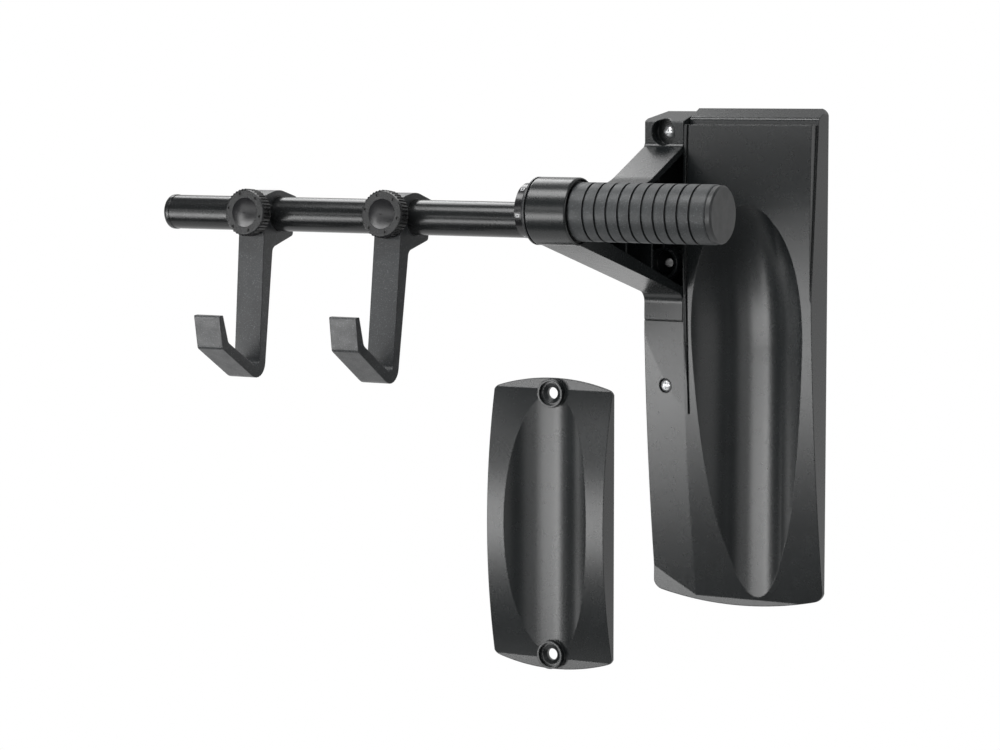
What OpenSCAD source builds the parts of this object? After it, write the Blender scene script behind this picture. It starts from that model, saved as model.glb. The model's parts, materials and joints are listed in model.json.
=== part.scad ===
// Wall bike holder: a moulded bracket and tyre panel on the wall, a round arm with two sliding
// hooks, a twist grip that locks the arm, and a separate wheel rest.
// The wall is the plane y = 0, the bicycle is on the -Y side, +Z is up and +X is to the right.
// The origin is the middle of the tyre panel in the wall plane.

/* [Tyre panel] */
// Width of the panel with the bracket foot beside it
panel_w = 139; // [132:1:150]
// Height of the panel at its middle
panel_h = 367; // [350:1:390]
// Greatest height of the front face above the wall
panel_crown = 26.2; // [24:0.1:30]
// Radius of the long curve of the front face
panel_bend = 1600; // [1500:10:1900]
// Height of the crown's middle above the origin
crown_z = 100; // [85:1:115]
// Thickness of the moulded walls
panel_wall = 2.6; // [2:0.1:3.2]
// Thickness of the rim at the bottom edge
rim_t = 1.8; // [1.4:0.1:2.4]
// Drop of the bowed bottom edge
bottom_bow = 9; // [5:1:14]
// Radius of the two top corners
top_corner = 7; // [4:1:10]
// Radius of the two bottom corners
bottom_corner = 9; // [5:1:12]
// Drop of the slanted top wall over its depth
top_fall = 12; // [8:1:16]
// Draft of the side walls over their depth
side_draft = 1.2; // [0.6:0.1:2]
// Radius of the front edges
edge_r = 1.2; // [0.8:0.1:2]
// Height of the left strip's front face where it meets the bracket foot
strip_h = 21; // [19:0.5:22.5]
// Slope of the left strip's face, down to its left edge
strip_fall = 5.5; // [3:0.5:8]
// Width of the thin bead between the raised face and the bracket
bead_w = 2.2; // [1.6:0.1:3]
// Width of the seam between the raised face and the bead
seam_w = 1.5; // [0.8:0.1:2]
// Depth of the seam
seam_deep = 2; // [1:0.1:3]
// Inset of the raised face behind the shell's right edge
shoulder_w = 0.9; // [0.6:0.1:2]
// Distance from the panel's top down to the raised face
shoulder_top = 11.8; // [10:0.1:14]
// Depth of the shoulder beside the raised face at the top
shoulder_deep = 9; // [6:0.5:11]
// Height at which the shoulder runs out into the face
shoulder_end_z = 45; // [25:1:60]
// Radius of the shell's edge round the shoulder
shoulder_r = 3; // [2:0.1:4]
// Place of the bead's lower end
bead_end_z = -41; // [-60:1:-25]
// Thickness of the ribs on the back
rib_t = 2; // [1.6:0.1:2.6]

/* [Tyre groove] */
// Place of the groove's middle across the panel
groove_x = 16.4; // [12:0.1:19]
// Radius of the wide trough
groove_r = 58.6; // [56:0.1:62]
// Radius of the deeper channel in the middle
channel_r = 47; // [44:0.5:50]
// Thickness left under the channel
groove_floor = 2.2; // [2:0.1:2.8]
// Height of the wide trough's lowest line above the wall
trough_floor = 3.3; // [3.1:0.1:3.7]
// Radius of the run-out at the top of the groove
groove_sweep = 238; // [215:1:245]
// Height at which the run-out starts
groove_turn_z = 10; // [0:1:16]

/* [Wheel rest] */
// Width of the rest
rest_w = 103; // [98:1:110]
// Height of the rest at its middle
rest_h = 224; // [216:1:240]
// Distance of the rest's middle to the left of the panel's middle
rest_left = 156; // [150:1:200]
// Distance of the rest's middle below the origin
rest_down = 133.4; // [120:0.2:150]
// Greatest height of its front face
rest_crown = 15.9; // [14:0.1:18]
// Thickness of its outer rim at the ends
rest_rim = 2.2; // [1.8:0.1:2.8]
// Bow of its top and bottom edges
rest_bow = 8.5; // [5:0.5:12]
// Radius of its corners
rest_corner = 6; // [4:1:9]
// Radius of its groove
rest_groove_r = 56; // [52:1:60]
// Thickness left under its groove
rest_floor = 3; // [2.4:0.1:3.6]
// Thickness of its moulded walls
rest_wall = 2.4; // [2:0.1:2.8]
// Distance between its two screw holes
rest_holes = 201; // [195:1:204]
// Diameter of its screw holes
rest_hole_d = 9; // [8:0.1:10]
// Outer diameter of its screw bosses
boss_d = 21.6; // [20:0.1:23]
// Height of its screw bosses above the wall
boss_h = 8; // [7:0.1:9.5]
// Diameter of the counterbore in a boss
boss_bore_d = 18.2; // [17:0.1:18.6]
// Depth of the counterbore
boss_bore_deep = 3.2; // [2.4:0.1:4]

/* [Bracket] */
// Width of the bracket foot
foot_w = 34.5; // [32:0.5:38]
// Height of the foot's front face above the wall
foot_h = 25; // [23:0.5:26]
// Distance from the panel's top edge down to the foot's top edge
foot_top_inset = 2.2; // [1:0.1:4]
// Place of the foot's lower end
foot_low_z = 28.4; // [24:0.2:34]
// Distance of the collar's axis from the wall
stand_off = 182; // [172:1:200]
// Height of the collar's axis above the origin
arm_rise = 113.5; // [108:0.5:120]
// Outer diameter of the collar
collar_d = 47.4; // [45:0.2:52]
// Length of the collar's barrel
collar_len = 32; // [28:1:38]
// Wall of the collar's open right end round the grip
lip_wall = 1.5; // [1.2:0.1:1.8]
// Depth of the collar's open right end
lip_deep = 3.6; // [3:0.1:4.2]
// Thickness of the wedge's flanges
flange_t = 5; // [4:0.2:6]
// Thickness of the wedge's closed left web
web_t = 4; // [3:0.2:5]
// Gap between the bracket foot and the strip under it
strip_gap = 1.2; // [0.6:0.1:1.6]
// Clearance between neighbouring moulded parts
part_gap = 0.4; // [0.3:0.1:0.6]
// Distance between the wall screws
screw_pitch = 93.5; // [90:0.5:95]
// Diameter of the recess round a wall screw
recess_d = 19.5; // [18:0.1:21]
// Height of the top wall screw's seat above the wall
seat_t = 14.5; // [12:0.5:16]
// Diameter of the open spare screw hole in the bracket
spare_hole_d = 6.6; // [6:0.1:7]
// Chamfer of the foot's top left corner
foot_chamfer = 7; // [4:0.5:9]

/* [Arm] */
// Outer diameter of the arm tube
tube_d = 25; // [24:0.1:26]
// Wall of the arm tube
tube_wall = 1.5; // [1:0.1:2]
// Length of the arm tube
tube_len = 298; // [280:1:340]
// Distance of the tube's axis below the collar's axis
tube_drop = 6.6; // [5:0.1:6.6]
// Length of the tube's end cap outside the tube
cap_len = 5.3; // [4:0.1:8]
// Diameter of the index ring
index_d = 38.5; // [38.4:0.1:41]
// Length of the index ring
index_len = 5.2; // [4:0.1:7]
// Diameter of the hub's journal in the collar
journal_d = 34; // [31:0.5:35]
// Running clearance of the turning fits, on the radius
run_fit = 0.05; // [0.02:0.01:0.08]
// Length of the chamfered collar ring
ring_len = 4.5; // [3.5:0.1:6]

/* [Grip] */
// Outer diameter of the rubber sleeve
grip_d = 41; // [39:0.2:43]
// Length of the rubber sleeve
grip_len = 105; // [98:0.2:112]
// Diameter of the grip core under the sleeve
core_d = 31; // [29:0.5:33]
// Number of grooves round the sleeve
grip_grooves = 10; // [8:1:12]
// Distance between the grooves
groove_step = 9; // [8.4:0.1:9]
// Width of a groove
grip_groove_w = 1.7; // [1.2:0.1:2.4]
// Depth of a groove
grip_groove_deep = 1.6; // [1:0.1:2.2]
// Thickness of the end cap
grip_cap_len = 4.4; // [3.5:0.1:6]
// Diameter of the lock stud
stud_d = 8; // [7:0.5:10]

/* [Hooks] */
// Distance of the left hook's middle from the index ring
hook_1_out = 218.3; // [190:1:250]
// Distance of the right hook's middle from the index ring
hook_2_out = 101.8; // [80:1:130]
// Outward tilt of the left hook
hook_1_tilt = 4.2; // [0:0.1:10]
// Outward tilt of the right hook
hook_2_tilt = 6.5; // [0:0.1:10]
// Width of a hook
hook_w = 22; // [20:0.5:25]
// Distance of the shank's front face from the tube's axis
shank_front = 19.6; // [19.4:0.1:21]
// Depth of the hook below the tube's axis
hook_drop = 118.6; // [110:0.1:130]
// Reach of the lip in front of the tube's axis
lip_reach = 72.4; // [68:0.1:80]
// Height of the lip above the hook's lowest corner
lip_rise = 43.2; // [38:0.2:48]
// Thickness of the sleeve between hook and tube
liner_t = 1; // [0.8:0.1:1.2]

/* [Knobs] */
// Diameter of a knob over its teeth
knob_d = 34.2; // [32:0.2:36]
// Thickness of a knob
knob_len = 9.6; // [8:0.1:11]
// Number of teeth round a knob
knob_teeth = 40; // [32:1:44]
// Depth of the teeth
tooth_deep = 0.8; // [0.5:0.1:1.1]
// Diameter of the domed disc in a knob's middle
disc_d = 21.2; // [19:0.1:22]
// Travel of the clamp shoe
shoe_travel = 1; // [0.8:0.1:1.1]

/* [Hidden] */

// Overrun of every cut past the face that it leaves
over = 2;
// Clearance between pieces that are set into each other and don't turn
set_fit = 0.05;
// Length of the arm end cap's plug in the tube
cap_plug = 14;
// Length of the grip end cap's plug in the core
grip_plug = 8;
// Chamfer of the grip end cap's face
grip_cap_chamfer = 1.2;
// Chamfer of the knob's rims
knob_chamfer = 0.9;
// Radii of the bracket's side view: the foot's front corner, its root above,
// the flange's knee and its root below
flange_tip_r = 2;
foot_corner_r = 5;
knee_r = 60;
root_r = 9;
// Radii of the pocket between the flanges: its back corners, its front corner,
// its knee, its tip and its lower root
pocket_r = 1.5;
pocket_corner_r = 3;
pocket_knee_r = 55;
pocket_tip_r = 2;
pocket_root_r = 4;
// Spare size of the outlines where another form sets the edge
spare = 0.3;
// Smoothness of round forms, and of the very large curves
round_n = 96;
bend_n = 1440;

// Places in the shared frame
axis_y = -stand_off;
axis_z = arm_rise;
tube_z = axis_z - tube_drop;
panel_left = -panel_w / 2;
panel_top = panel_h / 2;
foot_right = panel_left + foot_w;
inner_left = foot_right + part_gap;
strip_top = foot_low_z - strip_gap;
foot_top = panel_top - foot_top_inset;
screw_x = panel_left + foot_w / 2 + foot_w / 40;
top_screw_z = foot_top - recess_d / 2 - 0.28 * recess_d;
foot_front_y = -foot_h;
spare_hole_z = top_screw_z - screw_pitch * 1.03;

// Places along the collar's axis, from left to right
collar_inset = 3;
collar_left = panel_left + collar_inset;
collar_right = collar_left + collar_len;
ring_gap = 0.3;
ring_right = collar_left - ring_gap;
ring_left = ring_right - ring_len;
index_gap = 0.2;
index_right = ring_left - index_gap;
index_left = index_right - index_len;
washer_gap = 0.1;
washer_t = 1.4;
lip_left = collar_right - lip_deep;
washer_left = lip_left + washer_gap;
core_left = washer_left + washer_t + washer_gap;
core_flange_t = 1.6;
sleeve_left = core_left + core_flange_t + washer_gap;
sleeve_right = sleeve_left + grip_len;
hook_1_x = index_left - hook_1_out;
hook_2_x = index_left - hook_2_out;

// Front heights of the two wall pieces at a place along Z
function bend_fall(z, middle, radius) = radius - sqrt(radius * radius - (z - middle) * (z - middle));
function front_at(z) = panel_crown - bend_fall(z, crown_z, panel_bend);

// Outline helpers: a polygon whose corners are rounded by arcs
function unit(v) = v / norm(v);
function corner_arc(a, b, c, r, n) =
  let (u = unit(a - b), w = unit(c - b), half = acos(u * w) / 2,
       middle = b + unit(u + w) * r / sin(half),
       p = b + u * r / tan(half) - middle, q = b + w * r / tan(half) - middle,
       start = atan2(p.y, p.x), sweep = (atan2(q.y, q.x) - start + 540) % 360 - 180)
  [for (i = [0:n]) middle + r * [cos(start + sweep * i / n), sin(start + sweep * i / n)]];
function rounded(points, radii, n = 8) =
  let (last = len(points) - 1)
  [for (i = [0:last])
    each (radii[i] == 0 ? [points[i]]
      : corner_arc(points[i == 0 ? last : i - 1], points[i], points[i == last ? 0 : i + 1], radii[i], n))];
// Points of a bowed edge between two rounded corners, with its bow to the side of the given sign
function bowed(half, bow, z, sign, corner, n = 24) =
  let (r = (half * half + bow * bow) / (2 * bow), reach = asin((half - 1.15 * corner) / r))
  [for (i = [0:n]) let (a = sign * reach * (1 - 2 * i / n))
    [r * sin(a), z - sign * (r * cos(a) - (r - bow))]];

// Extrusions along the three axes: from a place to the right, from the wall outward, and up
module along_x(from, length) {
  translate([from, 0, 0]) rotate([90, 0, 90]) linear_extrude(length) children();
}
module from_wall(length, back = 0) {
  translate([0, back, 0]) rotate([90, 0, 0]) linear_extrude(length + back) children();
}
// A turned piece: the 2D x is the radius and the 2D y is the place along X
module turned(y = axis_y, z = axis_z) {
  translate([0, y, z]) rotate([0, 90, 0]) rotate_extrude($fn = round_n) children();
}
module rod_x(r, from, to, y = axis_y, z = axis_z) {
  translate([from, y, z]) rotate([0, 90, 0]) cylinder(h = to - from, r = r, $fn = round_n);
}
module rod_y(r, from, to, x, z) {
  translate([x, to, z]) rotate([90, 0, 0]) cylinder(h = to - from, r = r, $fn = round_n);
}

// The tyre panel

panel_floor_z = -panel_top;
side_low_z = panel_floor_z + bottom_bow;
top_slope = top_fall / panel_crown;

module panel_outline(inset) {
  half = panel_w / 2 - inset + spare;
  low = side_low_z + inset;
  high = panel_top - inset + spare;
  points = concat([[-half, high], [half, high], [half, low]],
    bowed(half, bottom_bow, low, 1, bottom_corner), [[-half, low]]);
  corners = concat([top_corner, top_corner, bottom_corner],
    [for (i = [1:len(points) - 4]) 0], [bottom_corner]);
  polygon(rounded(points, corners));
}
// The side view: the long front curve over a thin rim, under the slanted top wall
module panel_side(inset, back) {
  deep = panel_crown + over;
  intersection() {
    polygon([[back, panel_floor_z - over], [-deep, panel_floor_z - over],
      [-deep, panel_top - inset - top_slope * deep], [back, panel_top - inset + top_slope * back]]);
    union() {
      translate([panel_bend - panel_crown, crown_z]) circle(r = panel_bend - inset, $fn = bend_n);
      translate([inset - rim_t, panel_floor_z - over])
        square([rim_t - inset + back + over * 0.5, panel_h + over]);
    }
  }
}
// The plan view: side walls with their draft and rounded front edges
module panel_plan(inset, back) {
  deep = panel_crown - inset;
  front = panel_w / 2 - inset - side_draft;
  rear = front + side_draft * (deep + back) / deep;
  polygon(rounded([[-rear, back], [rear, back], [front, -deep], [-front, -deep]], [0, 0, edge_r, edge_r]));
}
// The space over the left strip, and the bracket's place above it
module panel_steps(inset) {
  strip_right = inner_left + inset;
  left = panel_left - over;
  deep = panel_crown + over;
  end_h = front_at(bead_end_z);
  along_x(left, strip_right - left)
    polygon([[inset - end_h, bead_end_z], [inset - strip_h, strip_top], [inset - strip_h, panel_top],
      [-deep, panel_top], [-deep, bead_end_z]]);
  translate([left, -deep - over, strip_top - inset])
    cube([strip_right - left, deep + 2 * over, panel_h]);
}
// The seam to the left of the raised face, cut down from the front curve
module panel_seam() {
  deep = panel_crown + over;
  along_x(inner_left + bead_w, seam_w) difference() {
    translate([-deep, bead_end_z]) square([deep, panel_h]);
    translate([panel_bend - panel_crown, crown_z]) circle(r = panel_bend - seam_deep, $fn = bend_n);
  }
}
// The raised face's outline, and the lower shell round it with its sloping front and rounded top
module raised_face(inset) {
  right = panel_w / 2 - side_draft - shoulder_w - inset;
  from_wall(panel_crown + over, 2 * over)
    translate([panel_left - over, panel_floor_z - over])
      square([right - panel_left + over, panel_h + over - shoulder_top - inset]);
}
module panel_shell(inset) {
  deep = panel_crown + over;
  mid_h = front_at(shoulder_end_z) - inset;
  top_h = front_at(panel_top) - shoulder_deep - inset;
  top_z = panel_top - inset - top_slope * top_h;
  along_x(panel_left - 2 * over, panel_w + 4 * over)
    polygon(rounded([[2 * over, panel_floor_z - over], [-deep, panel_floor_z - over],
      [-deep, shoulder_end_z - over], [-mid_h, shoulder_end_z], [-top_h, top_z],
      [2 * over, panel_top - inset + top_slope * 2 * over]], [0, 0, 0, 0, max(shoulder_r - inset, edge_r / 2), 0]));
}
module panel_block(inset = 0, back = 0) {
  difference() {
    intersection() {
      along_x(panel_left - over, panel_w + 2 * over) panel_side(inset, back);
      // The same curve, turned so that the strip's face falls away to the left, over the rim
      union() {
        translate([inner_left, -panel_crown / 2, 0]) rotate([0, 0, -strip_fall])
          translate([-inner_left, panel_crown / 2, 0])
            along_x(panel_left - panel_w, 3 * panel_w) translate([panel_bend - panel_crown, crown_z])
              circle(r = panel_bend - inset, $fn = bend_n);
        translate([panel_left - over, inset - rim_t, panel_floor_z - over])
          cube([panel_w + 2 * over, rim_t - inset + back + over, panel_h + 2 * over]);
      }
      from_wall(panel_crown + over, back + over) panel_outline(inset);
      translate([0, 0, panel_floor_z - over]) linear_extrude(panel_h + 2 * over)
        panel_plan(inset, back + over);
      union() {
        panel_shell(inset);
        raised_face(inset);
      }
    }
    panel_steps(inset);
  }
}
// The groove: a channel in a wide trough, straight below and swept out of the face above
module groove_section(grow) {
  translate([0, -groove_floor - channel_r]) circle(r = channel_r + grow, $fn = round_n);
  translate([0, -trough_floor - groove_r]) circle(r = groove_r + grow, $fn = round_n);
}
module groove_void(grow = 0) {
  low = panel_floor_z - over;
  sweep_y = -groove_floor - groove_sweep;
  translate([groove_x, 0, low]) linear_extrude(groove_turn_z - low) groove_section(grow);
  translate([groove_x, sweep_y, groove_turn_z]) rotate([90, 0, 90])
    rotate_extrude(angle = 60, $fn = round_n) translate([-sweep_y, 0]) rotate(-90) groove_section(grow);
}
// Ribs and screw bosses on the panel's open back
strip_screw_z = top_screw_z - 2 * screw_pitch;
strip_boss_r = 7;
rib_rows_share = [-0.36, -0.12, 0.12, 0.34];
rib_columns_share = [-0.14, 0.4];
rib_back = 1;
module panel_ribs() {
  deep = panel_crown + over;
  for (share = rib_rows_share)
    translate([panel_left, -deep, share * panel_h - rib_t / 2]) cube([panel_w, deep - rib_back, rib_t]);
  for (share = rib_columns_share)
    translate([share * panel_w - rib_t / 2, -deep, panel_floor_z])
      cube([rib_t, deep - rib_back, panel_h]);
  rod_y(strip_boss_r, -deep, 0, screw_x, strip_screw_z);
  for (z = tongue_screw_z) rod_y(tongue_boss_r, -deep, -tongue_t - part_gap, tongue_screw_x, z);
}
module tyre_panel() {
  strip_face = front_at(strip_screw_z);
  color("#26282a") difference() {
    panel_block();
    groove_void();
    panel_seam();
    difference() {
      panel_block(panel_wall, over);
      groove_void(panel_wall);
      panel_ribs();
    }
    // The strip's wall screw and its shallow head recess
    rod_y(screw_r + run_gap, -strip_face, over, screw_x, strip_screw_z);
    rod_y(screw_head_r + run_gap, -strip_face - over, strip_seat_y, screw_x, strip_screw_z);
    // The notch for the bracket's tongue and the pilot holes of its screws
    translate([foot_right - over, -tongue_t - part_gap, tongue_low - part_gap])
      cube([tongue_w + over + part_gap, tongue_t + part_gap + over, tongue_high - tongue_low + 2 * part_gap]);
    for (z = tongue_screw_z)
      rod_y(small_screw_r + set_fit, -tongue_screw_len - over, over, tongue_screw_x, z);
  }
}

// The wheel rest

rest_x = -rest_left;
rest_z = -rest_down;
rest_bend = (pow(rest_h / 2 - rest_bow, 2) + pow(rest_crown - rest_rim, 2)) / (2 * (rest_crown - rest_rim));
module rest_outline(inset) {
  half = rest_w / 2 - inset + spare;
  side = rest_h / 2 - rest_bow - inset;
  points = concat([[-half, side]], bowed(half, rest_bow, side, -1, rest_corner), [[half, side], [half, -side]],
    bowed(half, rest_bow, -side, 1, rest_corner), [[-half, -side]]);
  n = len(points);
  middle = (n - 4) / 2;
  polygon(rounded(points, [for (i = [0:n - 1])
    (i == 0 || i == middle + 1 || i == middle + 2 || i == n - 1) ? rest_corner : 0]));
}
module rest_block(inset = 0, back = 0) {
  deep = rest_crown + over;
  tall = rest_h / 2 + over;
  front = rest_w / 2 - inset - side_draft;
  rear = front + side_draft * (deep + back + over) / deep;
  intersection() {
    along_x(-rest_w / 2 - over, rest_w + 2 * over) union() {
      intersection() {
        translate([rest_bend - rest_crown, 0]) circle(r = rest_bend - inset, $fn = bend_n);
        translate([-deep, -tall]) square([deep + back, 2 * tall]);
      }
      translate([inset - rest_rim, -tall]) square([rest_rim - inset + back, 2 * tall]);
    }
    from_wall(deep, back + over) rest_outline(inset);
    translate([0, 0, -rest_h]) linear_extrude(2 * rest_h)
      polygon([[-rear, back + over], [rear, back + over], [front, -deep], [-front, -deep]]);
  }
}
module rest_groove(grow = 0) {
  translate([0, -rest_floor - rest_groove_r, -rest_h])
    cylinder(h = 2 * rest_h, r = rest_groove_r + grow, $fn = round_n);
}
rest_rib_share = [-0.25, 0, 0.25];
module wheel_rest() {
  ends = [rest_holes / 2, -rest_holes / 2];
  cone_r = (boss_bore_d + rest_hole_d) / 4;
  cone_deep = 1.6;
  color("#26282a") translate([rest_x, 0, rest_z]) difference() {
    union() {
      difference() {
        rest_block();
        rest_groove();
        difference() {
          rest_block(rest_wall, over);
          rest_groove(rest_wall);
          for (share = rest_rib_share)
            translate([-rest_w / 2, -rest_crown, share * rest_h - rib_t / 2])
              cube([rest_w, rest_crown - rib_back, rib_t]);
          for (side = [-1, 1])
            translate([side * rest_w * 0.42 - rib_t / 2, -rest_crown, -rest_h / 2])
              cube([rib_t, rest_crown - rib_back, rest_h]);
          for (z = ends) rod_y(boss_d / 2, -rest_crown, 0, 0, z);
        }
      }
      for (z = ends) rod_y(boss_d / 2, -boss_h, 0, 0, z);
    }
    for (z = ends) {
      rod_y(rest_hole_d / 2, -boss_h - over, over, 0, z);
      rod_y(boss_bore_d / 2, -boss_h - rest_crown, boss_bore_deep - boss_h, 0, z);
      translate([0, boss_bore_deep - boss_h, z]) rotate([-90, 0, 0])
        cylinder(h = cone_deep, r1 = cone_r + cone_deep / 2, r2 = rest_hole_d / 2, $fn = round_n);
    }
  }
}

// Screws: a pan head with a cross recess on a plain shank with a point

screw_r = 3;
screw_head_r = 5;
screw_head_t = 3.2;
screw_len = 58;
small_screw_r = 1.9;
run_gap = 0.3;
cross_w = 1.3;
cross_deep = 1.9;
strip_seat_y = screw_head_t * 0.9 - front_at(strip_screw_z) + foot_w / 2 * sin(strip_fall);
module pan_screw(head_r, head_t, shank_r, length) {
  point = 2 * shank_r;
  dome_r = (head_r * head_r + head_t * head_t) / (2 * head_t);
  difference() {
    intersection() {
      cylinder(h = head_t, r = head_r, $fn = round_n);
      translate([0, 0, head_t - dome_r]) sphere(r = dome_r, $fn = round_n);
    }
    for (turn = [0, 90]) rotate([0, 0, turn])
      translate([-head_r * 0.6, -cross_w / 2, head_t - cross_deep])
        cube([head_r * 1.2, cross_w, cross_deep + over]);
  }
  translate([0, 0, point - length]) cylinder(h = length - point, r = shank_r, $fn = round_n);
  translate([0, 0, -length]) cylinder(h = point, r1 = shank_r * 0.2, r2 = shank_r, $fn = round_n);
}
module wall_screws() {
  seats = [-seat_t, strip_seat_y];
  places = [top_screw_z, strip_screw_z];
  color("#c9cccd") for (i = [0, 1])
    translate([screw_x, seats[i], places[i]]) rotate([90, 0, 0])
      pan_screw(screw_head_r, screw_head_t, screw_r, screw_len);
}
// Countersunk screws from the wall side through the bracket's tongue into the panel
tongue_t = 4.5;
tongue_w = 22;
tongue_low = foot_low_z + (foot_top - foot_low_z) * 0.2;
tongue_high = foot_low_z + (foot_top - foot_low_z) * 0.78;
tongue_screw_x = foot_right + tongue_w * 0.6;
tongue_screw_z = [tongue_low + (tongue_high - tongue_low) * 0.14,
  tongue_high - (tongue_high - tongue_low) * 0.14];
tongue_boss_r = 4.6;
tongue_screw_len = 13;
sunk_r = 3.6;
sunk_t = 2.2;
sunk_inset = 0.3;
module panel_screws() {
  color("#c9cccd") for (z = tongue_screw_z)
    translate([tongue_screw_x, -sunk_inset, z]) rotate([90, 0, 0]) difference() {
      union() {
        cylinder(h = sunk_t, r1 = sunk_r, r2 = small_screw_r, $fn = round_n);
        cylinder(h = tongue_screw_len, r = small_screw_r, $fn = round_n);
      }
      for (turn = [0, 90]) rotate([0, 0, turn])
        translate([-small_screw_r, -cross_w / 4, -over]) cube([2 * small_screw_r, cross_w / 2, over + sunk_t / 2]);
    }
}

// The bracket: a hollow wedge from its foot on the wall out to the collar

collar_r = collar_d / 2;
bush_r = (collar_d - 7.4) / 2;
upper_knee = [-stand_off * 0.45, axis_z + collar_r * 0.7];
collar_back = [axis_y + collar_r * 0.4, axis_z + collar_r * 0.42];
upper_root_z = foot_top - 25.3;
lower_root_z = foot_low_z + 19.2;
module bracket_profile() {
  lower_start = [axis_y, axis_z - collar_r * 0.985];
  points = [[0, foot_low_z], [0, foot_top], [foot_front_y, foot_top - foot_h * top_slope * 0.62],
    [foot_front_y, upper_root_z], upper_knee, collar_back, lower_start,
    [foot_front_y, lower_root_z], [foot_front_y, foot_low_z]];
  polygon(rounded(points, [0, 0, flange_tip_r, foot_corner_r, knee_r, 0, 0, root_r, 0]));
}
// The pocket between the flanges, open to the right
module bracket_pocket() {
  points = [[-web_t, foot_low_z + flange_t], [-web_t, foot_top - flange_t * 1.3],
    [foot_front_y + flange_t * 0.8, foot_top - flange_t * 1.3 - foot_h * top_slope * 0.6],
    [foot_front_y + flange_t * 0.8, upper_root_z - flange_t * 0.7],
    upper_knee - [0, flange_t], [axis_y + collar_r, axis_z + collar_r * 0.2],
    [axis_y + collar_r, axis_z - collar_r + flange_t * 1.35],
    [foot_front_y + flange_t * 0.8, lower_root_z + flange_t * 0.8], [foot_front_y + flange_t * 0.8, foot_low_z + flange_t]];
  polygon(rounded(points, [pocket_r, pocket_r, pocket_r, pocket_corner_r, pocket_knee_r, pocket_tip_r, pocket_tip_r,
    pocket_root_r, pocket_r]));
}
rib_out_share = [0.36, 0.58];
module bracket_ribs() {
  for (share = rib_out_share)
    translate([collar_left, -share * stand_off - rib_t / 2, foot_low_z])
      cube([foot_w - web_t - collar_inset, rib_t, foot_top - foot_low_z]);
  for (z = [top_screw_z, spare_hole_z])
    rod_y(recess_d / 2 + rib_t, foot_front_y, 0, screw_x, z);
  // A gusset over the spare hole's boss
  translate([screw_x - rib_t / 2, foot_front_y, spare_hole_z])
    cube([rib_t, foot_h, recess_d / 2 + 3 * flange_t]);
}
module collar_body() {
  corner = 1.5;
  turned() polygon(rounded([[0, collar_left], [collar_r, collar_left], [collar_r, collar_right], [0, collar_right]],
    [0, corner, corner, 0]));
}
// The foot's front view, with its chamfered corner
module foot_front_view() {
  polygon([[panel_left, 0], [panel_left, foot_top - foot_chamfer],
    [panel_left + collar_inset + foot_chamfer, foot_top + over * 0.1],
    [foot_right, foot_top + over * 0.1], [foot_right, 0]]);
}
// The wedge's plan: a little narrower at the collar than at its foot
module bracket_plan() {
  polygon([[panel_left, 0], [collar_left, -foot_h], [collar_left + set_fit, axis_y + collar_r],
    [collar_left + set_fit, axis_y - collar_r], [collar_right - set_fit, axis_y - collar_r],
    [collar_right - set_fit, axis_y + collar_r], [foot_right, -foot_h], [foot_right, 0]]);
}
module support_bracket() {
  color("#232526") difference() {
    union() {
      intersection() {
        along_x(panel_left, foot_w) bracket_profile();
        linear_extrude(panel_top) bracket_plan();
        from_wall(stand_off + collar_d, over) foot_front_view();
        difference() {
          translate([panel_left, -stand_off - collar_d, 0]) cube([foot_w, stand_off + collar_d, panel_h]);
          difference() {
            along_x(panel_left + web_t, foot_w) bracket_pocket();
            bracket_ribs();
          }
        }
      }
      collar_body();
      translate([foot_right - web_t, -tongue_t, tongue_low])
        cube([web_t + tongue_w, tongue_t, tongue_high - tongue_low]);
    }
    rod_x(bush_r + set_fit, collar_left - over, collar_right + over);
    rod_x(collar_r - lip_wall, lip_left, collar_right + over);
    rod_y(recess_d / 2, foot_front_y - 4 * over, -seat_t, screw_x, top_screw_z);
    rod_y(screw_r + run_gap, -seat_t - over, over, screw_x, top_screw_z);
    rod_y(recess_d / 2, foot_front_y - over, -seat_t, screw_x, spare_hole_z);
    rod_y(spare_hole_d / 2, -seat_t - over, over, screw_x, spare_hole_z);
    for (z = tongue_screw_z) {
      rod_y(small_screw_r + run_gap, -tongue_t - over, over, tongue_screw_x, z);
      translate([tongue_screw_x, 0, z]) rotate([90, 0, 0])
        cylinder(h = sunk_t + sunk_inset + run_gap, r1 = sunk_r + run_gap + sunk_inset,
          r2 = small_screw_r + run_gap, $fn = round_n);
    }
  }
}

// Pieces in the collar: a chamfered ring with its bearing sleeve, and a second bush

journal_r = journal_d / 2;
sleeve_len = 13;
bush_len = 12;
module collar_ring() {
  face_r = index_d / 2 + run_gap;
  color("#3a3d3f") turned() polygon([[journal_r + run_fit, ring_left], [face_r, ring_left],
    [collar_r, ring_right - ring_len * 0.25], [collar_r, ring_right], [bush_r, ring_right],
    [bush_r, ring_right + sleeve_len], [journal_r + run_fit, ring_right + sleeve_len]]);
}
module collar_bush() {
  color("#3a3d3f") turned() polygon([[journal_r + run_fit, lip_left - bush_len],
    [bush_r, lip_left - bush_len], [bush_r, lip_left - set_fit],
    [journal_r + run_fit, lip_left - set_fit]]);
}

// The arm: an eccentric hub that turns in the collar, the tube on its spigot, and the end cap

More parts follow.
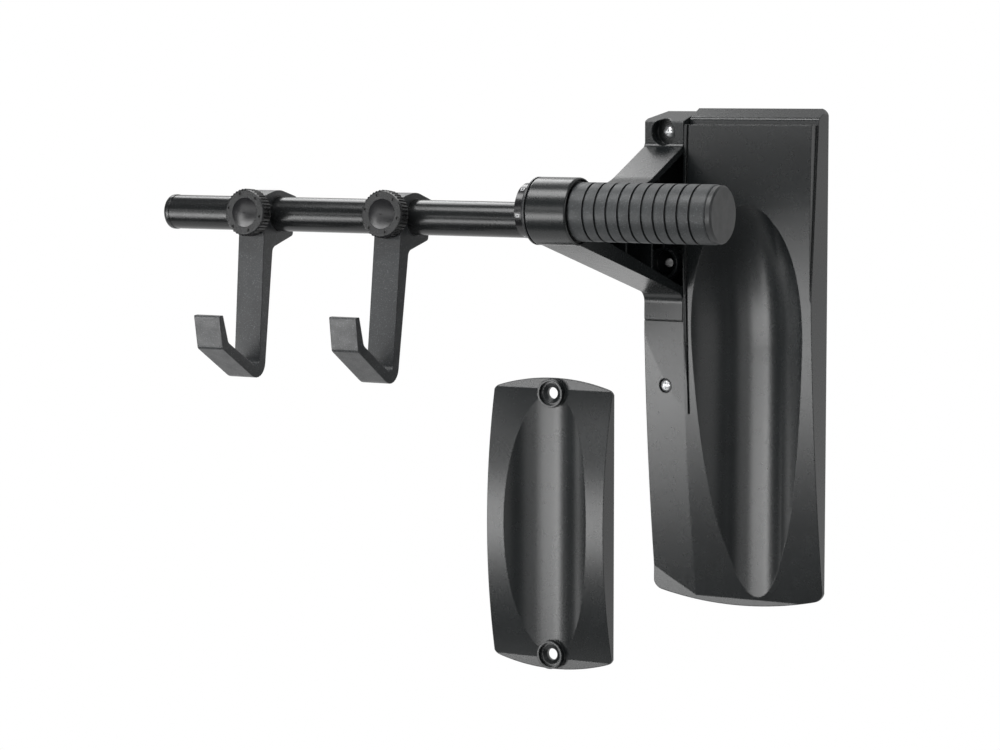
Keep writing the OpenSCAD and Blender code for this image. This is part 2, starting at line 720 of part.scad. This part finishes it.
tube_r = tube_d / 2;
tube_in_r = tube_r - tube_wall;
spigot_len = 26;
tube_right = index_left;
tube_left = tube_right - tube_len;
journal_right = collar_left + collar_len * 0.56;
arm_screw_x = tube_right - spigot_len * 0.55;
arm_screw_r = 2.5;
arm_screw_in = 8;
stud_left = index_left + index_len * 0.4;
module index_hub() {
  color("#101112") difference() {
    union() {
      rod_x(index_d / 2, index_left, index_right);
      rod_x(journal_r, index_right - set_fit, journal_right);
      rod_x(tube_in_r - set_fit, tube_right - spigot_len, index_left + set_fit, axis_y, tube_z);
    }
    rod_x(stud_d / 2 + set_fit, stud_left, journal_right + over);
    rod_y(arm_screw_r + set_fit, axis_y, axis_y + tube_r, arm_screw_x, tube_z);
  }
}
module arm_tube() {
  color("#161718") difference() {
    rod_x(tube_r, tube_left, tube_right, axis_y, tube_z);
    rod_x(tube_in_r, tube_left - over, tube_right + over, axis_y, tube_z);
    rod_y(arm_screw_r + set_fit, axis_y, axis_y + tube_d, arm_screw_x, tube_z);
  }
}
module arm_end_cap() {
  lip_r = 3;
  color("#121314") turned(axis_y, tube_z) polygon(rounded([[0, tube_left - cap_len],
    [tube_r + run_gap, tube_left - cap_len], [tube_r + run_gap, tube_left],
    [tube_in_r - set_fit, tube_left], [tube_in_r - set_fit, tube_left + cap_plug], [0, tube_left + cap_plug]],
    [0, lip_r, 0, 0, 1, 0]));
}
// A set screw from behind, flush with the tube, holds it on the hub's spigot
module arm_screw() {
  sunk = 0.4;
  socket_r = 1.45;
  color("#8a8d8f") translate([arm_screw_x, axis_y + tube_r - sunk, tube_z]) rotate([-90, 0, 0])
    difference() {
      translate([0, 0, -arm_screw_in]) cylinder(h = arm_screw_in, r = arm_screw_r, $fn = round_n);
      translate([0, 0, -arm_screw_in * 0.4]) cylinder(h = arm_screw_in, r = socket_r, $fn = 6);
    }
}
// The lock stud in the hub, which the grip screws on, and the nut that stops the grip
insert_len = 12;
insert_left = core_left + core_flange_t;
insert_r = stud_d / 2 + 3;
nut_gap = 0.5;
nut_len = 6.5;
nut_left = insert_left + insert_len + nut_gap;
stud_right = nut_left + nut_len + 1.5;
module lock_stud() {
  color("#8a8d8f") rod_x(stud_d / 2, stud_left + set_fit, stud_right);
}
module stop_nut() {
  flats_r = stud_d * 0.81 / cos(30);
  color("#8a8d8f") translate([nut_left, axis_y, axis_z]) rotate([0, 90, 0]) difference() {
    intersection() {
      cylinder(h = nut_len, r = flats_r, $fn = 6);
      translate([0, 0, nut_len / 2 - flats_r * 1.2]) cylinder(h = 2.4 * flats_r, r1 = flats_r * 1.5, r2 = flats_r * 0.8, $fn = round_n);
    }
    translate([0, 0, -over]) cylinder(h = nut_len + 2 * over, r = stud_d / 2 + set_fit, $fn = round_n);
  }
}

// The grip: a core that turns in the bush, a threaded insert, a ribbed sleeve and an end cap

core_spigot = 8;
core_wall = 3;
core_r = core_d / 2;
core_in_r = core_r - core_wall;
flange_r = grip_d / 2 - 0.8;
washer_r = collar_r - lip_wall - 0.3;
module thrust_washer() {
  color("#0c0d0d") difference() {
    rod_x(washer_r, washer_left, washer_left + washer_t);
    rod_x(journal_r + run_gap, washer_left - over, washer_left + washer_t + over);
  }
}
module grip_core() {
  web_right = insert_left + insert_len;
  color("#1a1b1c") turned() polygon([[stud_d / 2 + run_gap, core_left - core_spigot],
    [journal_r, core_left - core_spigot], [journal_r, core_left], [flange_r, core_left],
    [flange_r, core_left + core_flange_t], [core_r, core_left + core_flange_t], [core_r, sleeve_right],
    [core_in_r, sleeve_right], [core_in_r, web_right], [insert_r + set_fit, web_right],
    [insert_r + set_fit, insert_left], [stud_d / 2 + run_gap, insert_left]]);
}
module grip_insert() {
  color("#b08d3c") turned() polygon([[stud_d / 2 + run_fit, insert_left + set_fit],
    [insert_r, insert_left + set_fit], [insert_r, insert_left + insert_len],
    [stud_d / 2 + run_fit, insert_left + insert_len]]);
}
module grip_sleeve() {
  first = sleeve_right - (grip_grooves + 0.3) * groove_step;
  lip_r = 1.2;
  color("#2f3132") difference() {
    turned() polygon(rounded([[core_r + set_fit, sleeve_left], [grip_d / 2, sleeve_left],
      [grip_d / 2, sleeve_right - set_fit], [core_r + set_fit, sleeve_right - set_fit]], [0, lip_r, lip_r, 0], 4));
    turned() for (i = [0:grip_grooves - 1])
      translate([grip_d / 2 - grip_groove_deep, first + i * groove_step - grip_groove_w / 2])
        square([grip_groove_deep + over, grip_groove_w]);
  }
}
module grip_end_cap() {
  right = sleeve_right + set_fit + grip_cap_len;
  color("#2a2c2d") turned() polygon([[0, sleeve_right - grip_plug], [core_in_r - set_fit, sleeve_right - grip_plug],
    [core_in_r - set_fit, sleeve_right + set_fit], [grip_d / 2 - grip_cap_chamfer / 2, sleeve_right + set_fit],
    [grip_d / 2 - grip_cap_chamfer / 2, right - grip_cap_chamfer],
    [grip_d / 2 - 1.5 * grip_cap_chamfer, right], [0, right]]);
}

// Hooks: drawn about the tube's axis, then tilted and set along the tube

liner_r = tube_r + run_fit + liner_t;
eye_r = liner_r + run_fit;
eye_wall = 4.4;
eye_top = eye_r + eye_wall;
lowest = -hook_drop;
shank_back = shank_front - 9.6;
foot_back = shank_front - 6.4;
module at_hook(x, tilt) {
  translate([x, axis_y, tube_z]) rotate([-tilt, 0, 0]) children();
}
module hook_profile() {
  corner_z = lowest - 6.9;
  points = [[-shank_front, eye_r * 0.95], [-eye_r * 0.18, eye_top], [eye_top + 3.5, eye_r * 0.99],
    [eye_top - 0.5, -eye_top * 0.83], [-shank_back + 2, -eye_top - 6.5], [-foot_back, corner_z],
    [-lip_reach + 5.9, lowest + lip_rise - 23.4], [-lip_reach, lowest + lip_rise],
    [-lip_reach + 4.4, lowest + lip_rise + 0.8], [-lip_reach + 12.4, lowest + 24.6],
    [-shank_front, lowest + 5.1]];
  polygon(rounded(points, [5, 25, 2.5, 2.5, 5, 11, 3, 0.8, 0.8, 5, 5]));
}
shoe_r = 5.5;
shoe_t = 1.7;
thread_r = 3;
thread_bush_r = 4.6;
pocket_floor = eye_r + shoe_t + shoe_travel + set_fit * 4;
module hook_body() {
  difference() {
    along_x(-hook_w / 2, hook_w) hook_profile();
    translate([-hook_w / 2 - over, 0, 0]) rotate([0, 90, 0])
      cylinder(h = hook_w + 2 * over, r = eye_r, $fn = round_n);
    rod_y(shoe_r + set_fit * 2, -pocket_floor, 0, 0, 0);
    rod_y(thread_bush_r + set_fit, -shank_front - over, 0, 0, 0);
  }
}
module hook_liner() {
  split = 3;
  difference() {
    translate([-hook_w / 2, 0, 0]) rotate([0, 90, 0]) cylinder(h = hook_w, r = liner_r, $fn = round_n);
    translate([-hook_w / 2 - over, 0, 0]) rotate([0, 90, 0])
      cylinder(h = hook_w + 2 * over, r = tube_r + run_fit, $fn = round_n);
    translate([-hook_w / 2 - over, 0, -split / 2]) cube([hook_w + 2 * over, tube_d, split]);
  }
}
module hook_insert() {
  difference() {
    rod_y(thread_bush_r, -shank_front, -pocket_floor, 0, 0);
    rod_y(thread_r + run_fit, -shank_front - over, 0, 0, 0);
  }
}
// The shoe presses on the split sleeve and turns on the screw's pin
pin_r = 1.6;
pin_in = 1;
shoe_back = eye_r + shoe_t;
module clamp_shoe() {
  difference() {
    rod_y(shoe_r, -shoe_back, -eye_r * 0.8, 0, 0);
    translate([-hook_w, 0, 0]) rotate([0, 90, 0]) cylinder(h = 2 * hook_w, r = eye_r, $fn = round_n);
    rod_y(pin_r + run_fit, -shoe_back - over, pin_in - shoe_back, 0, 0);
  }
}

// Knobs: a toothed wheel with six dimples, its screw, and a domed disc in the middle

knob_gap = 0.3;
knob_back = shank_front + knob_gap;
knob_front = knob_back + knob_len;
disc_t = 2.6;
disc_dome = 1.1;
screw_socket = 5;
dimple_share = 0.8;
module clamp_screw() {
  rod_y(thread_r, -knob_back - screw_socket, -shoe_back - set_fit, 0, 0);
  rod_y(pin_r, -shoe_back - set_fit * 2, pin_in - set_fit - shoe_back, 0, 0);
}
module knob_body() {
  outer = knob_d / 2;
  difference() {
    intersection() {
      translate([0, -knob_back, 0]) rotate([90, 0, 0]) linear_extrude(knob_len)
        polygon([for (i = [0:4 * knob_teeth - 1])
          let (r = i % 4 < 2 ? outer : outer - tooth_deep, a = (i + 0.5) * 90 / knob_teeth) r * [cos(a), sin(a)]]);
      translate([0, -knob_back, 0]) rotate([90, 0, 0]) rotate_extrude($fn = round_n)
        polygon([[0, 0], [outer - knob_chamfer, 0], [outer + set_fit, knob_chamfer],
          [outer + set_fit, knob_len - knob_chamfer], [outer - knob_chamfer * 1.6, knob_len], [0, knob_len]]);
    }
    rod_y(disc_d / 2 + set_fit, -knob_front - over, disc_t - knob_front, 0, 0);
    rod_y(thread_r + set_fit, -knob_back - screw_socket, 0, 0, 0);
    for (i = [0:5])
      rotate([0, 60 * i + 12, 0]) translate([outer * dimple_share, -knob_front, 0])
        rotate([90, 0, 0]) translate([0, 0, -tooth_deep]) cylinder(h = over, r = tooth_deep * 1.5, $fn = 24);
  }
}
module knob_disc() {
  r = disc_d / 2;
  dome_r = (r * r + disc_dome * disc_dome) / (2 * disc_dome);
  translate([0, -knob_front + disc_t - set_fit, 0]) rotate([90, 0, 0]) intersection() {
    cylinder(h = disc_t + disc_dome, r = r, $fn = round_n);
    translate([0, 0, disc_t + disc_dome - dome_r]) sphere(r = dome_r, $fn = 2 * round_n);
  }
}
module pair_piece(i, shade) {
  x = i == 1 ? hook_1_x : hook_2_x;
  tilt = i == 1 ? hook_1_tilt : hook_2_tilt;
  color(shade) at_hook(x, tilt) children();
}
module hook_1() { pair_piece(1, "#33363a") hook_body(); }
module hook_2() { pair_piece(2, "#33363a") hook_body(); }
module hook_liner_1() { pair_piece(1, "#0e0f10") hook_liner(); }
module hook_liner_2() { pair_piece(2, "#0e0f10") hook_liner(); }
module hook_insert_1() { pair_piece(1, "#b08d3c") hook_insert(); }
module hook_insert_2() { pair_piece(2, "#b08d3c") hook_insert(); }
module clamp_shoe_1() { pair_piece(1, "#55585a") clamp_shoe(); }
module clamp_shoe_2() { pair_piece(2, "#55585a") clamp_shoe(); }
module clamp_screw_1() { pair_piece(1, "#8a8d8f") clamp_screw(); }
module clamp_screw_2() { pair_piece(2, "#8a8d8f") clamp_screw(); }
module knob_1() { pair_piece(1, "#1c1d1e") knob_body(); }
module knob_2() { pair_piece(2, "#1c1d1e") knob_body(); }
module knob_disc_1() { pair_piece(1, "#0b0c0c") knob_disc(); }
module knob_disc_2() { pair_piece(2, "#0b0c0c") knob_disc(); }

support_bracket();
tyre_panel();
wheel_rest();
wall_screws();
panel_screws();
collar_ring();
collar_bush();
index_hub();
arm_tube();
arm_end_cap();
arm_screw();
lock_stud();
stop_nut();
thrust_washer();
grip_core();
grip_sleeve();
grip_end_cap();
grip_insert();
hook_liner_1();
hook_liner_2();
hook_1();
hook_2();
hook_insert_1();
hook_insert_2();
clamp_shoe_1();
clamp_shoe_2();
clamp_screw_1();
clamp_screw_2();
knob_1();
knob_2();
knob_disc_1();
knob_disc_2();
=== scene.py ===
import json
import math

import bmesh
import bpy
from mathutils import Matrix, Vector


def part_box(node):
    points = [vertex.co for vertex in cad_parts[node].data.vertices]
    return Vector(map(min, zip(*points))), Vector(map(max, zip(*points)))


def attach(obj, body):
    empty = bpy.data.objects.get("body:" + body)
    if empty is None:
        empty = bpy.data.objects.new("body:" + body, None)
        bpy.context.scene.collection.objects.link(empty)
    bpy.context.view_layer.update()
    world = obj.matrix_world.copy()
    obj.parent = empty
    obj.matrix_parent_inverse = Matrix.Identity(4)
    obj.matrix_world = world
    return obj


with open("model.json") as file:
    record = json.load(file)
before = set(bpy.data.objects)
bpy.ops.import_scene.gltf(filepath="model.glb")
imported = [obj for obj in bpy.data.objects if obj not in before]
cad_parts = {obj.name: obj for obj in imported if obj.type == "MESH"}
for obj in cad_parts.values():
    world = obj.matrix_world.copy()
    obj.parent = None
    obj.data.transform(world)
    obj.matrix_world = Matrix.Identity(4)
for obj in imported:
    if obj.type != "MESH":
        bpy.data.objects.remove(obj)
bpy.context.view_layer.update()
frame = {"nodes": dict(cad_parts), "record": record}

nodes = frame["nodes"]
scene = bpy.context.scene


# Node helpers

def new_material(name):
    mat = bpy.data.materials.new(name)
    mat.use_nodes = True
    tree = mat.node_tree
    tree.nodes.clear()
    out = tree.nodes.new("ShaderNodeOutputMaterial")
    bsdf = tree.nodes.new("ShaderNodeBsdfPrincipled")
    tree.links.new(bsdf.outputs["BSDF"], out.inputs["Surface"])
    return mat, tree, bsdf, out


def noise(tree, coords, scale, detail=3.0, rough=0.55):
    n = tree.nodes.new("ShaderNodeTexNoise")
    n.inputs["Scale"].default_value = scale
    n.inputs["Detail"].default_value = detail
    n.inputs["Roughness"].default_value = rough
    tree.links.new(coords, n.inputs["Vector"])
    return n.outputs["Fac"]


def stretched(tree, coords, scale):
    """The same place with each axis scaled by its own factor."""
    m = tree.nodes.new("ShaderNodeMapping")
    m.inputs["Scale"].default_value = scale
    tree.links.new(coords, m.inputs["Vector"])
    return m.outputs["Vector"]


def ramp(tree, fac, low, high, first, second):
    r = tree.nodes.new("ShaderNodeValToRGB")
    r.color_ramp.elements[0].position = low
    r.color_ramp.elements[1].position = high
    r.color_ramp.elements[0].color = (*first, 1.0)
    r.color_ramp.elements[1].color = (*second, 1.0)
    tree.links.new(fac, r.inputs["Fac"])
    return r.outputs["Color"]


def remap(tree, fac, start, end, low, high, smooth=False):
    m = tree.nodes.new("ShaderNodeMapRange")
    m.interpolation_type = "SMOOTHSTEP" if smooth else "LINEAR"
    m.inputs["From Min"].default_value = start
    m.inputs["From Max"].default_value = end
    m.inputs["To Min"].default_value = low
    m.inputs["To Max"].default_value = high
    tree.links.new(fac, m.inputs["Value"])
    return m.outputs["Result"]


def over_tone(tree, mask, below, above):
    """The colour above, laid over the tone below where the mask is light."""
    mix = tree.nodes.new("ShaderNodeMix")
    mix.data_type = "RGBA"
    tree.links.new(mask, mix.inputs["Factor"])
    tree.links.new(below, mix.inputs["A"])
    mix.inputs["B"].default_value = (*above, 1.0)
    return mix.outputs["Result"]


def soft_edges(tree, radius):
    """A normal that rolls over each edge, so that edges catch the light as moulded ones do."""
    b = tree.nodes.new("ShaderNodeBevel")
    b.samples = 6
    b.inputs["Radius"].default_value = radius
    return b.outputs["Normal"]


def bump(tree, bsdf, height, strength, distance, before=None):
    b = tree.nodes.new("ShaderNodeBump")
    b.inputs["Strength"].default_value = strength
    b.inputs["Distance"].default_value = distance
    tree.links.new(height, b.inputs["Height"])
    if before is not None:
        tree.links.new(before, b.inputs["Normal"])
    tree.links.new(b.outputs["Normal"], bsdf.inputs["Normal"])


def combine(tree, operation, first, second):
    m = tree.nodes.new("ShaderNodeMath")
    m.operation = operation
    tree.links.new(first, m.inputs[0])
    tree.links.new(second, m.inputs[1])
    return m.outputs[0]


# Materials

SLOW_SCALE, SLOW_DETAIL, SLOW_LOW, SLOW_HIGH = 18.0, 4.0, 0.35, 0.65
GLOSS_SCALE, GLOSS_LOW, GLOSS_HIGH = 140.0, 0.3, 0.7
SCUFF_LOW, SCUFF_HIGH, SCUFF_LIFT, SCUFF_MOST = 0.56, 0.80, 2.2, 0.8
GRAIN_STRENGTH = 0.5
BLACK, WHITE = (0, 0, 0), (1, 1, 1)


def moulded(name, colour, rough, grain=2600.0, grain_depth=0.00006, spread=0.18, rough_spread=0.06, specks=None,
            speck_at=(0.60, 0.72), speck_scale=1500.0, specular=0.5, metallic=0.0, edge=0.0, scuff=None):
    """A moulded, coated or turned surface.

    It has slow changes of tone, mottled gloss and a fine grain. Specks are pale grains in the coat, edge is
    the radius of its worn edges, and scuff is a scale for marks drawn out along one axis.
    """
    mat, tree, bsdf, _ = new_material(name)
    coords = tree.nodes.new("ShaderNodeTexCoord").outputs["Object"]
    darker = tuple(c * (1 - spread) for c in colour)
    lighter = tuple(min(1.0, c * (1 + spread)) for c in colour)
    tone = ramp(tree, noise(tree, coords, SLOW_SCALE, SLOW_DETAIL), SLOW_LOW, SLOW_HIGH, darker, lighter)
    if specks:
        fleck = noise(tree, coords, speck_scale, 1.0)
        tone = over_tone(tree, ramp(tree, fleck, *speck_at, BLACK, WHITE), tone, specks)
    if scuff:
        marks = noise(tree, stretched(tree, coords, scuff), 1.0)
        mask = ramp(tree, marks, SCUFF_LOW, SCUFF_HIGH, BLACK, (SCUFF_MOST,) * 3)
        tone = over_tone(tree, mask, tone, tuple(min(1.0, c * SCUFF_LIFT) for c in colour))
    tree.links.new(tone, bsdf.inputs["Base Color"])
    gloss = remap(tree, noise(tree, coords, GLOSS_SCALE), GLOSS_LOW, GLOSS_HIGH,
                  rough - rough_spread, rough + rough_spread)
    tree.links.new(gloss, bsdf.inputs["Roughness"])
    bsdf.inputs["Metallic"].default_value = metallic
    bsdf.inputs["Specular IOR Level"].default_value = specular
    rolled = soft_edges(tree, edge) if edge else None
    bump(tree, bsdf, noise(tree, coords, grain, 2.0), GRAIN_STRENGTH, grain_depth, rolled)
    return mat


mats = {
    "moulded_black": moulded("moulded_black", (0.0100, 0.0118, 0.0124), 0.27, grain=2400.0, grain_depth=0.000004,
                             rough_spread=0.008, edge=0.0009),
    "collar_black": moulded("collar_black", (0.018, 0.0195, 0.0205), 0.42, grain=3000.0, grain_depth=0.00005,
                            specks=(0.060, 0.064, 0.067), speck_at=(0.60, 0.70), speck_scale=2000.0),
    "gloss_black": moulded("gloss_black", (0.008, 0.008, 0.009), 0.24, grain=900.0, grain_depth=0.000006,
                           rough_spread=0.03),
    "coated_steel": moulded("coated_steel", (0.010, 0.0108, 0.0112), 0.24, grain=1500.0, grain_depth=0.000004,
                            rough_spread=0.015, specks=(0.040, 0.042, 0.044), speck_at=(0.63, 0.74),
                            specular=0.36),
    "hook_coat": moulded("hook_coat", (0.017, 0.019, 0.0205), 0.37, grain=1300.0, grain_depth=0.00007,
                         specks=(0.095, 0.100, 0.108), speck_scale=1400.0, edge=0.0010),
    "knob_black": moulded("knob_black", (0.008, 0.0085, 0.009), 0.28, grain_depth=0.00001, edge=0.0004),
    "grip_rubber": moulded("grip_rubber", (0.025, 0.028, 0.0295), 0.50, grain=1500.0, grain_depth=0.00010,
                           specks=(0.10, 0.108, 0.112), speck_at=(0.60, 0.74), speck_scale=1300.0,
                           scuff=(2500.0, 90.0, 90.0)),
    "cap_grey": moulded("cap_grey", (0.024, 0.026, 0.027), 0.46, grain=2400.0, grain_depth=0.00003),
    "zinc": moulded("zinc", (0.86, 0.87, 0.88), 0.42, grain=900.0, grain_depth=0.00003, spread=0.05,
                    metallic=0.9),
    "plain_steel": moulded("plain_steel", (0.42, 0.43, 0.44), 0.33, grain=1200.0, grain_depth=0.00003,
                           spread=0.10, metallic=1.0),
    "brass": moulded("brass", (0.62, 0.45, 0.18), 0.30, grain=1200.0, grain_depth=0.00003, spread=0.10,
                     metallic=1.0),
}
mark_white = moulded("mark_white", (0.62, 0.63, 0.64), 0.5, grain=1800.0, grain_depth=0.00002, spread=0.12)

EDGE_WIDTH = {
    "support_bracket": 0.0008, "tyre_panel": 0.0007, "wheel_rest": 0.0007, "collar_ring": 0.0003,
    "index_hub": 0.0004, "arm_end_cap": 0.0002, "grip_sleeve": 0.0008, "grip_end_cap": 0.0006,
    "hook_1": 0.0011, "hook_2": 0.0011, "knob_1": 0.0003, "knob_2": 0.0003, "wall_screws": 0.0002,
}
EDGE_ANGLE, EDGE_SEGMENTS = 38, 3
slots = {p["node"]: p["material_slot"] for p in frame["record"]["subparts"]}
for name, obj in nodes.items():
    obj.data.materials.clear()
    obj.data.materials.append(mats[slots[name]])
    if name in EDGE_WIDTH:
        bevel = obj.modifiers.new("edges", "BEVEL")
        bevel.width = EDGE_WIDTH[name]
        bevel.segments = EDGE_SEGMENTS
        bevel.limit_method = "ANGLE"
        bevel.angle_limit = math.radians(EDGE_ANGLE)
        bevel.harden_normals = False


# Pieces that ride on the solids

def add_piece(bm, name, mat, body):
    mesh = bpy.data.meshes.new(name)
    bm.to_mesh(mesh)
    bm.free()
    piece = bpy.data.objects.new(name, mesh)
    scene.collection.objects.link(piece)
    piece.data.materials.append(mat)
    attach(piece, body)


def index_marks():
    """Small printed squares round the glossy ring of the hub."""
    count, first_turn = 6, -8
    length, width, stroke, lift, inset = 0.0026, 0.0024, 0.0005, 0.00004, 0.0026
    low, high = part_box("index_hub")
    ring_r = (high[2] - low[2]) / 2
    axis = Vector((0.0, (low[1] + high[1]) / 2, (low[2] + high[2]) / 2))
    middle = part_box("arm_tube")[1][0] + inset
    right, top = length / 2, width / 2
    bars = [
        (-right, -right + stroke, -top, top),
        (right - stroke, right, -top, top),
        (-right + stroke, right - stroke, -top, -top + stroke),
        (-right + stroke, right - stroke, top - stroke, top),
    ]
    faces = ((3, 2, 1, 0), (4, 5, 6, 7), (0, 1, 5, 4), (1, 2, 6, 5), (2, 3, 7, 6), (3, 0, 4, 7))
    bm = bmesh.new()
    for step in range(count):
        turn = math.radians(360 / count * step + first_turn)
        for x0, x1, t0, t1 in bars:
            corners = []
            for r in (ring_r, ring_r + lift):
                for x, t in ((x0, t0), (x1, t0), (x1, t1), (x0, t1)):
                    a = turn + t / ring_r
                    place = axis + Vector((middle + x, -r * math.cos(a), r * math.sin(a)))
                    corners.append(bm.verts.new(place))
            for face in faces:
                bm.faces.new([corners[i] for i in face])
    bmesh.ops.recalc_face_normals(bm, faces=bm.faces)
    add_piece(bm, "index_marks", mark_white, "arm")


def gap_shade_strip():
    """Painted shade: a dark strip in the panel's black that fills the gap under the bracket's foot, so that the
    joint shows as a black line of shade.
    """
    foot_left, foot_low, foot_right = -0.0695, 0.0284, -0.0352
    gap, inset, front, back, clear, edge = 0.0012, 0.0006, -0.0200, -0.0020, 0.00005, 0.0002
    bm = bmesh.new()
    bmesh.ops.create_cube(bm, size=1.0)
    for v in bm.verts:
        v.co.x = foot_left + inset if v.co.x < 0 else foot_right
        v.co.y = front if v.co.y < 0 else back
        v.co.z = foot_low - gap + clear if v.co.z < 0 else foot_low - clear
    bmesh.ops.bevel(bm, geom=bm.edges[:], offset=edge, segments=2, affect="EDGES")
    add_piece(bm, "gap_shade_strip", mats["moulded_black"], "wall_side")


index_marks()
# painted shade: a dark strip fills the gap under the bracket's foot
gap_shade_strip()


# Floor and world

def background(tree, strength):
    b = tree.nodes.new("ShaderNodeBackground")
    b.inputs["Color"].default_value = (1, 1, 1, 1)
    b.inputs["Strength"].default_value = strength
    return b.outputs[0]


def set_world():
    """White to the camera, with a dim room in front of the object and the white sweep behind it."""
    soft_level, front_level, back_level = 0.09, 0.0, 0.75
    sweep_start, sweep_end = 0.0, 0.75
    world = bpy.data.worlds.new("studio")
    scene.world = world
    world.use_nodes = True
    tree = world.node_tree
    tree.nodes.clear()
    out = tree.nodes.new("ShaderNodeOutputWorld")
    mix = tree.nodes.new("ShaderNodeMixShader")
    tree.links.new(background(tree, soft_level), mix.inputs[1])
    tree.links.new(background(tree, 1.0), mix.inputs[2])
    tree.links.new(mix.outputs[0], out.inputs["Surface"])
    path = tree.nodes.new("ShaderNodeLightPath").outputs
    split = tree.nodes.new("ShaderNodeSeparateXYZ")
    tree.links.new(tree.nodes.new("ShaderNodeTexCoord").outputs["Generated"], split.inputs[0])
    behind = remap(tree, split.outputs["Y"], sweep_start, sweep_end, front_level, back_level, smooth=True)
    white = combine(tree, "MULTIPLY", path["Is Glossy Ray"], behind)
    white = combine(tree, "MAXIMUM", white, path["Is Camera Ray"])
    white = combine(tree, "MAXIMUM", white, path["Is Transmission Ray"])
    tree.links.new(white, mix.inputs["Fac"])


def add_floor():
    """A plain pale floor that is white where the camera, a mirror or clear glass looks at it."""
    pale, roughness, size, place = (0.9, 0.9, 0.9, 1), 0.9, 8.0, (0, 3.4, -0.75)
    mat, tree, bsdf, out = new_material("floor_white")
    bsdf.inputs["Base Color"].default_value = pale
    bsdf.inputs["Roughness"].default_value = roughness
    glow = tree.nodes.new("ShaderNodeEmission")
    glow.inputs["Color"].default_value = (1, 1, 1, 1)
    glow.inputs["Strength"].default_value = 1.0
    path = tree.nodes.new("ShaderNodeLightPath").outputs
    seen = combine(tree, "MAXIMUM", path["Is Camera Ray"], path["Is Glossy Ray"])
    seen = combine(tree, "MAXIMUM", seen, path["Is Transmission Ray"])
    mix = tree.nodes.new("ShaderNodeMixShader")
    tree.links.new(seen, mix.inputs["Fac"])
    tree.links.new(bsdf.outputs[0], mix.inputs[1])
    tree.links.new(glow.outputs[0], mix.inputs[2])
    tree.links.new(mix.outputs[0], out.inputs["Surface"])
    bpy.ops.mesh.primitive_plane_add(size=size, location=place)
    floor = bpy.context.object
    floor.name = "floor"
    floor.data.materials.append(mat)


set_world()
add_floor()


# Soft boxes

def toward(azimuth, elevation, distance):
    """A place at a distance from the panel: the azimuth turns from straight in front to the left."""
    a, e = math.radians(azimuth), math.radians(elevation)
    return (-distance * math.sin(a) * math.cos(e), -distance * math.cos(a) * math.cos(e), distance * math.sin(e))


def soft_box(name, place, aim, size, size_y, radiance):
    """A soft box that faces its aim; its power follows from its radiance and its size."""
    lamp = bpy.data.lights.new(name, "AREA")
    lamp.shape = "RECTANGLE"
    lamp.size = size
    lamp.size_y = size_y
    lamp.energy = radiance * math.pi * size * size_y
    obj = bpy.data.objects.new(name, lamp)
    obj.location = place
    obj.rotation_euler = (Vector(aim) - Vector(place)).to_track_quat("-Z", "Y").to_euler()
    scene.collection.objects.link(obj)


CENTRE = (0.0, 0.0, 0.0)
SOFT_BOXES = [
    ("front_left", toward(27, -10, 2.0), CENTRE, 1.15, 0.50, 7.0),
    ("front_streak", toward(43, -9, 1.9), CENTRE, 0.16, 1.0, 9.0),
    ("front_high", toward(27, 12, 2.0), CENTRE, 1.15, 0.26, 2.6),
    ("overhead", (-0.30, -0.80, 1.20), (-0.15, -0.15, 0.1), 1.2, 0.5, 9.0),
    ("front_fill", toward(-3, -2, 2.0), CENTRE, 0.6, 1.2, 1.4),
    ("top_left", (-0.80, 0.40, 0.95), (-0.1, -0.1, 0.1), 0.55, 0.55, 5.0),
    ("left_side", toward(80, -6, 1.8), (-0.1, -0.1, 0.0), 0.30, 0.9, 1.6),
    ("right_front", toward(-48, 2, 2.0), CENTRE, 1.1, 1.2, 1.1),
    ("right_side", toward(-86, 18, 2.0), CENTRE, 0.9, 0.9, 2.5),
]
for box in SOFT_BOXES:
    soft_box(*box)


# Camera

CAMERA_TURN, CAMERA_RISE = 30, 5.2
cam_data = bpy.data.cameras.new("camera")
cam_data.sensor_width = 36.0
cam_data.lens = 115.2
cam_data.clip_end = 50
cam = bpy.data.objects.new("camera", cam_data)
cam.location = (1.0208, -2.1215, 0.2014)
cam.rotation_euler = (math.radians(90 - CAMERA_RISE), 0, math.radians(CAMERA_TURN))
scene.collection.objects.link(cam)
scene.camera = cam
scene.view_settings.view_transform = "Standard"
